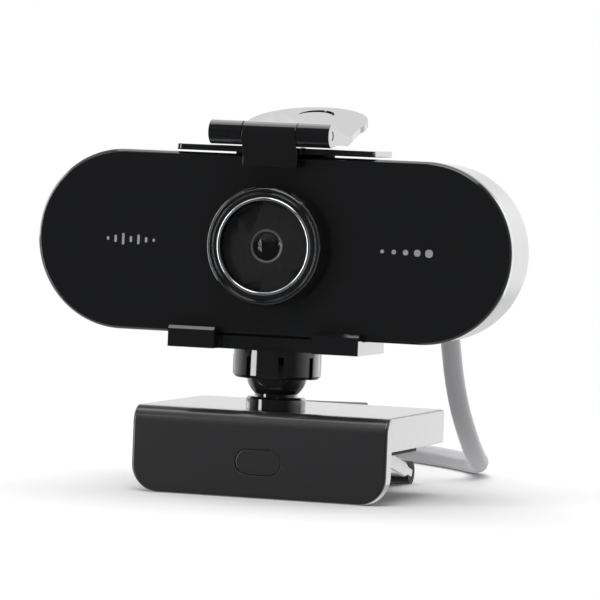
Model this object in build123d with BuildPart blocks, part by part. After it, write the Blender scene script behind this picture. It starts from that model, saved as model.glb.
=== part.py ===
from build123d import *
import os
from math import asin, cos, degrees, pi, radians, sin, tan

# Webcam with a flip-over lens cover, on a ball joint and a folding screen clip that also stands on a
# desk. Millimetres. +X is to the right as seen from in front, -Y is the front, +Z is up. The origin is
# on the desk, under the middle of the object; the ball joint stands BALL_Y from it.

BALL_Y = -17.1

# camera body
BODY_W = 82.2
BODY_H = 30.0
BODY_Z = 41.7
PLATE_FRONT = BALL_Y - 6.0
PLATE_T = 1.8
PLATE_BACK = PLATE_FRONT + PLATE_T
SHELL_INSET = 0.3
SHELL_WALL = 1.5
SHELL_BACK = BALL_Y + 13.0
SHELL_ROUND = 8.0
INSIDE_BACK = SHELL_BACK - SHELL_WALL
SHELL_W = BODY_W - 2 * SHELL_INSET
SHELL_H = BODY_H - 2 * SHELL_INSET
INSIDE_W = SHELL_W - 2 * SHELL_WALL
INSIDE_H = SHELL_H - 2 * SHELL_WALL
SHELL_BOTTOM = BODY_Z - SHELL_H / 2
SHELL_TOP = BODY_Z + SHELL_H / 2

# lens, in front of and behind the front plate
RING_R = 10.25
RING_PROUD = 4.2
SPIGOT_R = 8.15
TRIM_R = 8.1
WINDOW_R = 7.5
APERTURE_R = 2.9
BARREL_R = 5.2

# circuit board and screws
BOARD_FRONT = BALL_Y + 2.4
BOARD_T = 1.0
BOARD_BACK = BOARD_FRONT + BOARD_T
BOARD_SCREWS = [(-15.0, BODY_Z - 7.5), (15.0, BODY_Z + 7.5)]
CASE_SCREW_X = 29.0
SCREW_R = 0.8
FRAME_T = 1.5
FRAME_BACK = PLATE_BACK + FRAME_T

# lens cover hinge
COVER_Y = BALL_Y - 7.8
COVER_Z = 60.2
COVER_TILT = 15.0
KNUCKLE_R = 2.0
MID_KNUCKLE = 9.4
SIDE_KNUCKLE = 5.6
HINGE_W = 20.8
COVER_PIN_R = 0.72
FLAP_R = 10.3
FLAP_T = 1.0
FLAP_CRANK = 2.8
FLAP_REACH = COVER_Z - BODY_Z - 0.1
COVER_BASE_W = 34.4
COVER_BASE_Z = 57.0
COVER_BASE_T = 1.0

# ball joint
BALL_R = 5.2
BALL_Z = 20.8
BALL_FLAT = 4.5
NECK_R = 3.6
DISC_R = 5.0
DISC_TOP = 16.6
FIT = 0.05
LINER_T = 0.6
CUP_R = 7.35
CUP_BOTTOM = 19.7
CRADLE_BOTTOM = 24.4
CRADLE_HALF = 16.5
TAB_W = 8.0
TAB_TOP = 27.9

# clip
CLIP_W = 44.2
LIP_FRONT = BALL_Y - 8.5
LIP_T = 3.0
CLIP_BACK = BALL_Y + 26.5
CLIP_TOP = 14.4
CLIP_UNDER = 8.8
CLIP_SKIN = 1.4
CLIP_WALL = 1.5
BASE_T = 1.2
SPINDLE_R = 2.0
PAD_T = 1.0
THREAD_Y = BALL_Y + 11.5
THREAD_R = 2.55
INSERT_R = 4.5
INSERT_L = 4.1

# folding rear leg
LEG_Y = BALL_Y + 22.5
LEG_Z = 6.4
LEG_L = 20.5
LEG_HALF = 1.3
LEG_KNUCKLE_R = 2.2
FOOT_R = 2.0
LEG_PIN_R = 1.0
LUG_IN = 9.2
LUG_OUT = 13.0
LEG_DROP = degrees(asin((LEG_Z - FOOT_R) / LEG_L))

# cable
CABLE_D = 3.5
GLAND_X = 16.0
GLAND_Z = BODY_Z - 3.5
GLAND_TIP = SHELL_BACK + 10.0
HANK_X = -27.9
HANK_Y = BALL_Y + 90.9
HANK_TURN = 18.0
HANK_RUN = 56.0
HANK_W = 11 * CABLE_D
HANK_H = 6.8
TIE_T = 0.6
CABLE_ROUTE = [
    (16.0, GLAND_TIP + FIT, GLAND_Z),
    (16.0, BALL_Y + 36.0, 38.0),
    (16.0, BALL_Y + 46.0, 30.0),
    (16.6, BALL_Y + 50.5, 15.5),
    (18.0, BALL_Y + 59.0, 4.6),
    (16.0, BALL_Y + 72.5, 1.75),
    (7.0, BALL_Y + 84.0, 1.75),
    (-4.5, BALL_Y + 94.0, 1.9),
    (-12.6, BALL_Y + 104.0, 2.6),
]


def facing_front(y):
    """A plane across the object at y, facing forwards, with X to the right and Z up."""
    return Plane.XZ.offset(-y)


def across(x):
    """A plane along the object at x, facing right, with Y to the right and Z up."""
    return Plane.YZ.offset(x)


def lens_section(y):
    """A plane through the lens axis, from y on that axis: X across it and Y along it."""
    return Plane(origin=(0, y, BODY_Z), x_dir=(1, 0, 0), z_dir=(0, 0, 1))


LENS_AXIS = Axis((0, 0, BODY_Z), (0, 1, 0))
BALL_AXIS = Axis((0, BALL_Y, 0), (0, 0, 1))
BALL_SECTION = Plane(origin=(0, BALL_Y, 0), x_dir=(1, 0, 0), z_dir=(0, -1, 0))

os.makedirs("parts", exist_ok=True)


def keep(piece, label):
    """Name a finished piece and write it out."""
    piece.label = label
    export_step(piece, f"parts/{label}.step")
    print(f"{label:16s} solids {len(piece.solids()):2d}  volume {piece.volume:9.2f}")


# ---- camera body -------------------------------------------------------------------------------

# gloss acrylic plate over the whole front, with a hole for the lens ring's spigot
with BuildPart() as front_plate:
    with BuildSketch(facing_front(PLATE_BACK)):
        with Locations((0, BODY_Z)):
            SlotOverall(BODY_W, BODY_H)
            Circle(SPIGOT_R, mode=Mode.SUBTRACT)
    extrude(amount=PLATE_T)
    chamfer(front_plate.faces().sort_by(Axis.Y)[0].outer_wire().edges(), 0.45)
keep(front_plate.part, "front_plate")

# inner frame that carries the plate and takes the case screws in two posts
POST_BACK = INSIDE_BACK - 2.4
with BuildPart() as face_frame:
    with BuildSketch(facing_front(FRAME_BACK)):
        with Locations((0, BODY_Z)):
            SlotOverall(INSIDE_W - 0.2, INSIDE_H - 0.2)
            Circle(SPIGOT_R, mode=Mode.SUBTRACT)
    extrude(amount=FRAME_T)
    with BuildSketch(facing_front(FRAME_BACK)):
        with Locations((-CASE_SCREW_X, BODY_Z), (CASE_SCREW_X, BODY_Z)):
            Circle(2.6)
    extrude(amount=-(POST_BACK - FRAME_BACK))
    with BuildSketch(facing_front(POST_BACK)):
        with Locations((-CASE_SCREW_X, BODY_Z), (CASE_SCREW_X, BODY_Z)):
            Circle(SCREW_R)
    extrude(amount=8.0, mode=Mode.SUBTRACT)
keep(face_frame.part, "face_frame")

# the room inside the shell, one wall thickness in from its outside
with BuildPart() as shell_room:
    with BuildSketch(facing_front(INSIDE_BACK)):
        with Locations((0, BODY_Z)):
            SlotOverall(INSIDE_W, INSIDE_H)
    extrude(amount=INSIDE_BACK - PLATE_BACK + 1)
    fillet(shell_room.faces().sort_by(Axis.Y)[-1].edges(), SHELL_ROUND - SHELL_WALL)

# light moulded shell: straight side wall, then a large round to the back
with BuildPart() as rear_shell:
    with BuildSketch(facing_front(SHELL_BACK)):
        with Locations((0, BODY_Z)):
            SlotOverall(SHELL_W, SHELL_H)
    extrude(amount=SHELL_BACK - PLATE_BACK)
    fillet(rear_shell.faces().sort_by(Axis.Y)[-1].edges(), SHELL_ROUND)
    add(shell_room.part, mode=Mode.SUBTRACT)
    # board posts on the back wall
    with BuildSketch(facing_front(INSIDE_BACK + 0.5)):
        with Locations(*BOARD_SCREWS):
            Circle(2.2)
    extrude(amount=INSIDE_BACK + 0.5 - BOARD_BACK)
    with BuildSketch(facing_front(INSIDE_BACK)):
        with Locations(*BOARD_SCREWS):
            Circle(SCREW_R)
    extrude(amount=INSIDE_BACK - BOARD_BACK, mode=Mode.SUBTRACT)
    # countersunk wells and holes for the case screws
    with Locations(*[Location(facing_front(SHELL_BACK).location * Pos(x, BODY_Z, 0) * Rot(0, 180, 0))
                     for x in (-CASE_SCREW_X, CASE_SCREW_X)]):
        CounterBoreHole(radius=1.0, counter_bore_radius=2.3, counter_bore_depth=1.0, depth=6.0)
    # cable outlet
    with BuildSketch(facing_front(SHELL_BACK + 1)):
        with Locations((GLAND_X, GLAND_Z)):
            Circle(2.6)
    extrude(amount=SHELL_WALL + 2, mode=Mode.SUBTRACT)
    # pilot holes for the cradle screws
    with BuildSketch(Plane.XY.offset(SHELL_BOTTOM - 1)):
        with Locations((-12, BALL_Y + 1), (12, BALL_Y + 1)):
            Circle(SCREW_R)
    extrude(amount=SHELL_WALL + 2, mode=Mode.SUBTRACT)
keep(rear_shell.part, "rear_shell")

with BuildPart() as case_screws:
    for side in (-1, 1):
        with BuildSketch(facing_front(SHELL_BACK - 0.1)):
            with Locations((side * CASE_SCREW_X, BODY_Z)):
                Circle(2.1)
                Rectangle(2.4, 0.5, mode=Mode.SUBTRACT)
                Rectangle(0.5, 2.4, mode=Mode.SUBTRACT)
        extrude(amount=0.45)
        with BuildSketch(facing_front(SHELL_BACK - 0.55)):
            with Locations((side * CASE_SCREW_X, BODY_Z)):
                Circle(2.1)
        extrude(amount=0.4)
        with BuildSketch(facing_front(SHELL_BACK - 0.95)):
            with Locations((side * CASE_SCREW_X, BODY_Z)):
                Circle(SCREW_R - 0.02)
        extrude(amount=7.0)
keep(case_screws.part, "case_screws")

# ---- lens --------------------------------------------------------------------------------------

# turned outer ring with a grooved front face, standing proud of the plate
with BuildPart() as lens_ring:
    with BuildSketch(lens_section(PLATE_FRONT)):
        Polygon(
            (RING_R, 0), (RING_R, -0.8), (9.85, -3.7), (9.4, -RING_PROUD), (9.1, -RING_PROUD),
            (9.0, -RING_PROUD + 0.25), (8.8, -RING_PROUD + 0.25), (8.7, -RING_PROUD),
            (TRIM_R, -RING_PROUD), (TRIM_R, -3.4), (7.7, -3.4), (7.7, -2.45), (6.7, -2.45),
            (6.7, -1.6), (7.7, -1.0), (7.7, PLATE_T - 0.1), (SPIGOT_R - 0.03, PLATE_T - 0.1),
            (SPIGOT_R - 0.03, 0), align=None,
        )
    revolve(axis=LENS_AXIS)
keep(lens_ring.part, "lens_ring")

# bright metal trim pressed into the ring
with BuildPart() as lens_trim:
    with BuildSketch(lens_section(PLATE_FRONT)):
        Polygon(
            (TRIM_R - 0.01, -3.42), (TRIM_R - 0.01, -RING_PROUD - 0.05), (7.9, -RING_PROUD - 0.15),
            (7.7, -RING_PROUD - 0.05), (7.52, -3.42), align=None,
        )
    revolve(axis=LENS_AXIS)
keep(lens_trim.part, "lens_trim")

with BuildPart() as lens_window:
    with BuildSketch(facing_front(PLATE_FRONT - 2.6)):
        with Locations((0, BODY_Z)):
            Circle(WINDOW_R)
    extrude(amount=0.7)
    chamfer(lens_window.faces().sort_by(Axis.Y)[0].edges(), 0.1)
keep(lens_window.part, "lens_window")

# opaque black mask behind the window, with the clear aperture
with BuildPart() as window_mask:
    with BuildSketch(facing_front(PLATE_FRONT - 2.45)):
        with Locations((0, BODY_Z)):
            Circle(WINDOW_R)
            Circle(APERTURE_R, mode=Mode.SUBTRACT)
    extrude(amount=0.15)
keep(window_mask.part, "window_mask")

# threaded lens barrel with a stepped bore
with BuildPart() as lens_barrel:
    with BuildSketch(lens_section(PLATE_FRONT)):
        Polygon(
            (APERTURE_R, -2.4), (BARREL_R, -2.4), (BARREL_R, 6.4), (3.6, 6.4), (3.6, 1.0),
            (2.2, 1.0), (2.2, -0.7), (APERTURE_R, -0.7), align=None,
        )
    revolve(axis=LENS_AXIS)
keep(lens_barrel.part, "lens_barrel")

with BuildPart() as lens_element:
    with BuildSketch(lens_section(PLATE_FRONT)):
        with BuildLine():
            Line((0, -0.72), (APERTURE_R - 0.02, -0.72))
            Line((APERTURE_R - 0.02, -0.72), (APERTURE_R - 0.02, -1.2))
            TangentArc((0, -2.0), (APERTURE_R - 0.02, -1.2), tangent=(1, 0))
            Line((0, -2.0), (0, -0.72))
        make_face()
    revolve(axis=LENS_AXIS)
keep(lens_element.part, "lens_element")

with BuildPart() as lens_holder:
    with BuildSketch(facing_front(BOARD_FRONT)):
        with Locations((0, BODY_Z)):
            RectangleRounded(13.0, 13.0, 1.0)
    extrude(amount=5.0)
    with BuildSketch(facing_front(BOARD_FRONT)):
        with Locations((0, BODY_Z)):
            Rectangle(9.0, 9.0)
    extrude(amount=1.9, mode=Mode.SUBTRACT)
    with BuildSketch(facing_front(BOARD_FRONT)):
        with Locations((0, BODY_Z)):
            Circle(BARREL_R + 0.02)
    extrude(amount=6.0, mode=Mode.SUBTRACT)
keep(lens_holder.part, "lens_holder")

with BuildPart() as image_sensor:
    with BuildSketch(facing_front(BOARD_FRONT)):
        with Locations((0, BODY_Z)):
            Rectangle(7.2, 6.0)
    extrude(amount=0.9)
keep(image_sensor.part, "image_sensor")

# ---- electronics -------------------------------------------------------------------------------

with BuildPart() as circuit_board:
    with BuildSketch(facing_front(BOARD_BACK)):
        with Locations((0, BODY_Z)):
            RectangleRounded(36.0, 21.0, 1.2)
        with Locations(*BOARD_SCREWS):
            Circle(SCREW_R + 0.1, mode=Mode.SUBTRACT)
    extrude(amount=BOARD_T)
keep(circuit_board.part, "circuit_board")

# image processor, memory, crystal and small parts on the board's two sides
with BuildPart() as board_chips:
    for x, z, w, h, t in ((0, 1, 8, 8, 1.1), (-9, 3, 5, 4, 0.9), (8.5, 5.5, 3.2, 2.5, 0.8)):
        with BuildSketch(facing_front(BOARD_BACK)):
            with Locations((x, BODY_Z + z)):
                Rectangle(w, h)
        extrude(amount=-t)
    for column in range(4):
        with BuildSketch(facing_front(BOARD_FRONT)):
            with Locations((-15.5 + 2.2 * column, BODY_Z + 7.5), (9 + 2.2 * column, BODY_Z - 7.5)):
                Rectangle(1.2, 2.0)
        extrude(amount=0.6)
keep(board_chips.part, "board_chips")

with BuildPart() as board_screws:
    with BuildSketch(facing_front(BOARD_FRONT)):
        with Locations(*BOARD_SCREWS):
            Circle(1.6)
    extrude(amount=0.9)
    with BuildSketch(facing_front(BOARD_FRONT)):
        with Locations(*BOARD_SCREWS):
            Circle(SCREW_R - 0.02)
    extrude(amount=-5.5)
keep(board_screws.part, "board_screws")

with BuildPart() as cable_socket:
    with BuildSketch(facing_front(BOARD_BACK)):
        with Locations((6.0, BODY_Z - 6.5)):
            Rectangle(7.5, 4.0)
            Rectangle(6.1, 2.6, mode=Mode.SUBTRACT)
    extrude(amount=-4.0)
    with BuildSketch(facing_front(BOARD_BACK)):
        with Locations((6.0, BODY_Z - 6.5)):
            Rectangle(7.5, 4.0)
    extrude(amount=-0.8)
keep(cable_socket.part, "cable_socket")

# bundle of the cable's cores, from the gland to the socket's plug
LEAD_Y = BOARD_BACK + 6.0
with BuildPart() as inner_lead:
    with BuildLine() as lead_line:
        FilletPolyline(
            (GLAND_X, INSIDE_BACK - 1.15, GLAND_Z),
            (GLAND_X, LEAD_Y, GLAND_Z),
            (6.0, LEAD_Y, BODY_Z - 6.5),
            (6.0, BOARD_BACK + 4.0, BODY_Z - 6.5),
            radius=[0.9, 1.6],
        )
    with BuildSketch(Plane(origin=lead_line.wire() @ 0, z_dir=lead_line.wire() % 0)):
        Circle(0.8)
    sweep(path=lead_line.wire())
    with BuildSketch(facing_front(BOARD_BACK + 4.0)):
        with Locations((6.0, BODY_Z - 6.5)):
            Rectangle(6.0, 2.5)
    extrude(amount=3.1)
keep(inner_lead.part, "inner_lead")

with BuildPart() as microphone:
    with BuildSketch(facing_front(FRAME_BACK)):
        with Locations((-21.0, BODY_Z)):
            Circle(3.0)
    extrude(amount=-2.4)
    fillet(microphone.edges().filter_by(GeomType.CIRCLE), 0.3)
keep(microphone.part, "microphone")

# ---- cradle and socket under the body ----------------------------------------------------------

with BuildPart() as cradle:
    with BuildSketch(Plane.XY.offset(CRADLE_BOTTOM)):
        with Locations((0, BALL_Y + 0.5)):
            Rectangle(2 * CRADLE_HALF, 13.0)
    extrude(amount=TAB_TOP - CRADLE_BOTTOM - 1.3)
    # saddle that bears on the shell, behind the plate's lower edge
    with BuildSketch(Plane.XY.offset(CRADLE_BOTTOM)):
        with Locations((0, BALL_Y + 1.5)):
            Rectangle(2 * CRADLE_HALF, 11.0)
    extrude(amount=SHELL_BOTTOM - 0.02 - CRADLE_BOTTOM)
    fillet(cradle.edges().filter_by(Axis.Z), 1.0)
    # two hooks over the plate's lower edge
    for side in (-1, 1):
        with BuildSketch(across(side * (CRADLE_HALF - TAB_W / 2))):
            Polygon(
                (BALL_Y - 5.0, CRADLE_BOTTOM), (BALL_Y - 5.0, CRADLE_BOTTOM + 2.2),
                (PLATE_FRONT - 0.05, CRADLE_BOTTOM + 2.2), (PLATE_FRONT - 0.05, TAB_TOP),
                (BALL_Y - 8.0, TAB_TOP), (BALL_Y - 8.5, TAB_TOP - 0.5), (BALL_Y - 8.5, CRADLE_BOTTOM),
                align=None,
            )
        extrude(amount=TAB_W / 2, both=True)
    # socket cup
    with BuildSketch(Plane.XY.offset(CUP_BOTTOM)):
        with Locations((0, BALL_Y)):
            Circle(CUP_R)
    extrude(amount=CRADLE_BOTTOM - CUP_BOTTOM)
    chamfer(cradle.faces().sort_by(Axis.Z)[0].edges(), 0.5)
    with Locations((0, BALL_Y, BALL_Z)):
        Sphere(BALL_R + LINER_T + 2 * FIT, mode=Mode.SUBTRACT)
    with Locations((0, BALL_Y, BALL_Z + 5.0)):
        Cylinder(3.2, 6.0, mode=Mode.SUBTRACT)
    # slots that make the cup's wall into springy petals
    for step in range(4):
        with Locations(Location((0, BALL_Y, (CUP_BOTTOM + 23.4) / 2), (0, 0, 22.5 + 45 * step))):
            Box(2 * CUP_R + 1, 0.9, 23.4 - CUP_BOTTOM, mode=Mode.SUBTRACT)
    # counterbored screw holes
    with Locations(*[Location((x, BALL_Y + 1, CRADLE_BOTTOM), (180, 0, 0)) for x in (-12, 12)]):
        CounterBoreHole(radius=SCREW_R + 0.1, counter_bore_radius=1.9, counter_bore_depth=1.1, depth=4)
keep(cradle.part, "cradle")

with BuildPart() as cradle_screws:
    with BuildSketch(Plane.XY.offset(CRADLE_BOTTOM + 0.1)):
        with Locations((-12, BALL_Y + 1), (12, BALL_Y + 1)):
            Circle(1.7)
    extrude(amount=1.0)
    with BuildSketch(Plane.XY.offset(CRADLE_BOTTOM + 1.1)):
        with Locations((-12, BALL_Y + 1), (12, BALL_Y + 1)):
            Circle(SCREW_R - 0.02)
    extrude(amount=4.0)
keep(cradle_screws.part, "cradle_screws")

# ---- lens cover --------------------------------------------------------------------------------

COVER_AXIS_PLANE = Plane(origin=(0, COVER_Y, COVER_Z), x_dir=(0, 1, 0), z_dir=(1, 0, 0))

# top plate with the middle knuckle and the tail that hooks over the front plate
with BuildPart() as cover_base:
    with BuildSketch(Plane.XY.offset(COVER_BASE_Z)):
        with Locations((0, BALL_Y - 0.7)):
            RectangleRounded(COVER_BASE_W, 11.4, 1.2)
    extrude(amount=COVER_BASE_T)
    with BuildSketch(Plane.YZ):
        Polygon(
            (BALL_Y - 8.6, 54.8), (PLATE_FRONT - 0.05, 54.8), (PLATE_FRONT - 0.05, COVER_BASE_Z),
            (BALL_Y - 4.0, COVER_BASE_Z), (BALL_Y - 4.0, COVER_BASE_Z + COVER_BASE_T),
            (BALL_Y - 5.8, COVER_Z - 0.6), (BALL_Y - 5.8, COVER_Z), (BALL_Y - 9.8, COVER_Z),
            (BALL_Y - 9.8, COVER_Z - 1.2), (BALL_Y - 8.6, COVER_Z - 3.0), align=None,
        )
        with Locations((COVER_Y, COVER_Z)):
            Circle(KNUCKLE_R)
    extrude(amount=MID_KNUCKLE / 2, both=True)
    with BuildSketch(Plane.YZ):
        with Locations((COVER_Y, COVER_Z)):
            Circle(COVER_PIN_R + 0.02)
    extrude(amount=MID_KNUCKLE, both=True, mode=Mode.SUBTRACT)
keep(cover_base.part, "cover_base")

# foam tape that fixes the top plate to the shell
with BuildPart() as cover_tape:
    with BuildSketch(Plane.XY.offset(SHELL_TOP)):
        with Locations((0, BALL_Y)):
            Rectangle(15.0, 7.0)
    extrude(amount=COVER_BASE_Z - SHELL_TOP)
keep(cover_tape.part, "cover_tape")

with BuildPart() as cover_pin:
    with BuildSketch(across(-HINGE_W / 2 + 0.1)):
        with Locations((COVER_Y, COVER_Z)):
            Circle(COVER_PIN_R)
    extrude(amount=HINGE_W - 0.2)
keep(cover_pin.part, "cover_pin")

# round flap on two cranked arms, turned back over the body; its hinge is the cover pin
tilt_cos = cos(radians(COVER_TILT))
tilt_sin = sin(radians(COVER_TILT))
FLAP_ARM = Plane(origin=(0, COVER_Y, COVER_Z), x_dir=(0, tilt_cos, tilt_sin), z_dir=(1, 0, 0))
FLAP_FACE = Plane(
    origin=(0, COVER_Y + tilt_sin * (FLAP_CRANK + FLAP_T), COVER_Z - tilt_cos * (FLAP_CRANK + FLAP_T)),
    x_dir=(1, 0, 0),
    z_dir=(0, -tilt_sin, tilt_cos),
)
with BuildPart() as cover_flap:
    for side in (-1, 1):
        middle = side * (HINGE_W - SIDE_KNUCKLE) / 2
        with BuildSketch(FLAP_ARM.offset(middle)):
            Circle(KNUCKLE_R)
            Polygon(
                (0, -KNUCKLE_R), (2.2, -2.2), (8.4, -FLAP_CRANK - FLAP_T), (11.0, -FLAP_CRANK - FLAP_T),
                (11.0, -FLAP_CRANK), (8.6, -FLAP_CRANK), (1.7, 1.1), (0, KNUCKLE_R), align=None,
            )
        extrude(amount=SIDE_KNUCKLE / 2, both=True)
    with BuildSketch(FLAP_FACE):
        with Locations((0, FLAP_REACH)):
            Circle(FLAP_R)
        Polygon(
            (-HINGE_W / 2, 8.2), (HINGE_W / 2, 8.2), (FLAP_R - 0.25, 16.2), (0.25 - FLAP_R, 16.2),
            align=None,
        )
    extrude(amount=FLAP_T)
    # crescent finger notch near the free edge
    with BuildSketch(FLAP_FACE.offset(FLAP_T)):
        with Locations((0, FLAP_REACH + 5.2)):
            Circle(3.1)
        with Locations((0, FLAP_REACH + 3.7)):
            Circle(3.3, mode=Mode.SUBTRACT)
    extrude(amount=-0.5, mode=Mode.SUBTRACT)
    with BuildSketch(FLAP_ARM):
        Circle(COVER_PIN_R + 0.07)
    extrude(amount=HINGE_W, both=True, mode=Mode.SUBTRACT)
keep(cover_flap.part, "cover_flap")

# ---- ball joint --------------------------------------------------------------------------------

# swivel disc, neck and ball in one piece, with a spindle through the clip's top
with BuildPart() as ball_stud:
    with BuildSketch(BALL_SECTION):
        Polygon(
            (0, 12.9), (SPINDLE_R, 12.9), (SPINDLE_R, CLIP_TOP + FIT), (DISC_R, CLIP_TOP + FIT),
            (DISC_R, DISC_TOP - 0.4), (DISC_R - 0.4, DISC_TOP), (NECK_R, DISC_TOP), (NECK_R, 18.5),
            (0, 18.5), align=None,
        )
        with Locations((0, BALL_Z)):
            Circle(BALL_R)
        with Locations((0, BALL_Z + BALL_FLAT + 5)):
            Rectangle(20, 10, mode=Mode.SUBTRACT)
        with Locations((-10, BALL_Z)):
            Rectangle(20, 40, mode=Mode.SUBTRACT)
    revolve(axis=BALL_AXIS)
    with BuildSketch(Plane.XY.offset(12.9)):
        with Locations((0, BALL_Y)):
            Circle(SCREW_R)
    extrude(amount=5.0, mode=Mode.SUBTRACT)
keep(ball_stud.part, "ball_stud")

with BuildPart() as swivel_washer:
    with BuildSketch(Plane.XY.offset(12.3)):
        with Locations((0, BALL_Y)):
            Circle(3.6)
            Circle(SCREW_R + 0.1, mode=Mode.SUBTRACT)
    extrude(amount=0.6)
keep(swivel_washer.part, "swivel_washer")

with BuildPart() as swivel_screw:
    with BuildSketch(Plane.XY.offset(11.2)):
        with Locations((0, BALL_Y)):
            Circle(1.8)
    extrude(amount=1.1)
    with BuildSketch(Plane.XY.offset(12.3)):
        with Locations((0, BALL_Y)):
            Circle(SCREW_R - 0.02)
    extrude(amount=5.0)
keep(swivel_screw.part, "swivel_screw")

# friction ring between the ball and the cup: a zone of a hollow sphere
with BuildPart() as friction_ring:
    with Locations((0, BALL_Y, BALL_Z)):
        Sphere(BALL_R + FIT + LINER_T)
        Sphere(BALL_R + FIT, mode=Mode.SUBTRACT)
    split(bisect_by=Plane.XY.offset(BALL_Z - 0.9), keep=Keep.TOP)
    split(bisect_by=Plane.XY.offset(BALL_Z + 1.5), keep=Keep.BOTTOM)
keep(friction_ring.part, "friction_ring")

# ---- clip --------------------------------------------------------------------------------------

CLIP_SCREWS = [(x, BALL_Y + y) for x in (-17.0, 17.0) for y in (-0.5, 20.5)]
LIP_BACK = LIP_FRONT + LIP_T
CAVITY_TOP = CLIP_TOP - CLIP_SKIN
CAVITY_FRONT = LIP_BACK + CLIP_WALL
CAVITY_BACK = CLIP_BACK - CLIP_WALL
CAVITY_W = CLIP_W - 2 * CLIP_WALL

# one-piece cover: front lip, top skin and side walls, open below
with BuildPart() as clip_cover:
    with BuildSketch(Plane.YZ):
        Polygon(
            (LIP_FRONT, 0), (LIP_BACK, 0), (LIP_BACK, CLIP_UNDER), (CLIP_BACK, CLIP_UNDER),
            (CLIP_BACK, CLIP_TOP), (LIP_FRONT, CLIP_TOP), align=None,
        )
    extrude(amount=CLIP_W / 2, both=True)
    lip_ends = clip_cover.edges().filter_by(Axis.Y).group_by(Axis.Z)[0]
    fillet(lip_ends, 4.7)
    rear_corners = clip_cover.edges().filter_by(Axis.Z).group_by(Axis.Y)[-1]
    fillet(rear_corners, 2.0)
    brow = clip_cover.edges().filter_by(Axis.X).group_by(Axis.Z)[-1].sort_by(Axis.Y)[0]
    fillet(brow, 2.6)
    fillet(clip_cover.faces().sort_by(Axis.Z)[-1].edges(), 0.5)
    with BuildSketch(Plane.XY.offset(CLIP_UNDER)):
        with Locations((0, (CAVITY_FRONT + CAVITY_BACK) / 2)):
            RectangleRounded(CAVITY_W, CAVITY_BACK - CAVITY_FRONT, 0.6)
    extrude(amount=CAVITY_TOP - CLIP_UNDER, mode=Mode.SUBTRACT)
    with BuildSketch(Plane.XY.offset(CLIP_UNDER + BASE_T)):
        with Locations(*CLIP_SCREWS):
            Circle(2.2)
    extrude(amount=CAVITY_TOP + 0.2 - CLIP_UNDER - BASE_T)
    with BuildSketch(Plane.XY.offset(CLIP_UNDER + BASE_T)):
        with Locations(*CLIP_SCREWS):
            Circle(SCREW_R)
    extrude(amount=3.0, mode=Mode.SUBTRACT)
    with BuildSketch(Plane.XY.offset(CLIP_TOP + 1)):
        with Locations((0, BALL_Y)):
            Circle(SPINDLE_R + 0.06)
    extrude(amount=-CLIP_SKIN - 2, mode=Mode.SUBTRACT)
    # shallow seat for the badge
    with BuildSketch(facing_front(LIP_FRONT)):
        with Locations((0, 6.0)):
            SlotOverall(8.0, 4.4)
    extrude(amount=-0.5, mode=Mode.SUBTRACT)
keep(clip_cover.part, "clip_cover")

# plain oval badge, set in the lip
with BuildPart() as lip_badge:
    with BuildSketch(facing_front(LIP_FRONT + 0.5)):
        with Locations((0, 6.0)):
            SlotOverall(7.9, 4.3)
    extrude(amount=0.35)
    chamfer(lip_badge.faces().sort_by(Axis.Y)[0].edges(), 0.12)
keep(lip_badge.part, "lip_badge")

# base plate that closes the cover from below, with the insert's boss and the leg's lugs
with BuildPart() as clip_base:
    with BuildSketch(Plane.XY.offset(CLIP_UNDER)):
        with Locations((0, (CAVITY_FRONT + CAVITY_BACK) / 2)):
            RectangleRounded(CAVITY_W - 0.1, CAVITY_BACK - CAVITY_FRONT - 0.1, 0.6)
    extrude(amount=BASE_T)
    with BuildSketch(Plane.XY.offset(CLIP_UNDER)):
        with Locations((0, THREAD_Y)):
            Circle(INSERT_R + 1.4)
    extrude(amount=INSERT_L)
    with BuildSketch(Plane.XY.offset(CLIP_UNDER)):
        with Locations((0, THREAD_Y)):
            Circle(INSERT_R)
    extrude(amount=INSERT_L, mode=Mode.SUBTRACT)
    for side in (-1, 1):
        with BuildSketch(across(side * (LUG_IN + LUG_OUT) / 2)):
            with Locations((LEG_Y, LEG_Z)):
                Circle(2.4)
            with Locations((LEG_Y, (LEG_Z + CLIP_UNDER + 0.5) / 2)):
                Rectangle(4.8, CLIP_UNDER + 0.5 - LEG_Z)
        extrude(amount=(LUG_OUT - LUG_IN) / 2, both=True)
    with BuildSketch(Plane.YZ):
        with Locations((LEG_Y, LEG_Z)):
            Circle(LEG_PIN_R + 0.01)
    extrude(amount=LUG_OUT + 1, both=True, mode=Mode.SUBTRACT)
    with Locations(*[Location((x, y, CLIP_UNDER), (180, 0, 0)) for x, y in CLIP_SCREWS]):
        CounterSinkHole(radius=SCREW_R + 0.2, counter_sink_radius=1.8, depth=3, counter_sink_angle=90)
keep(clip_base.part, "clip_base")

with BuildPart() as clip_screws:
    for x, y in CLIP_SCREWS:
        with Locations((x, y, CLIP_UNDER + 0.02)):
            Cone(1.75, SCREW_R, 0.95, align=(Align.CENTER, Align.CENTER, Align.MIN))
            Cylinder(SCREW_R - 0.02, 3.9, align=(Align.CENTER, Align.CENTER, Align.MIN))
keep(clip_screws.part, "clip_screws")

# brass insert for a camera screw, flush with the underside
with BuildPart() as thread_insert:
    with BuildSketch(Plane.XY.offset(CLIP_UNDER)):
        with Locations((0, THREAD_Y)):
            Circle(INSERT_R - 0.01)
            Circle(THREAD_R, mode=Mode.SUBTRACT)
    extrude(amount=INSERT_L)
keep(thread_insert.part, "thread_insert")

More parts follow.
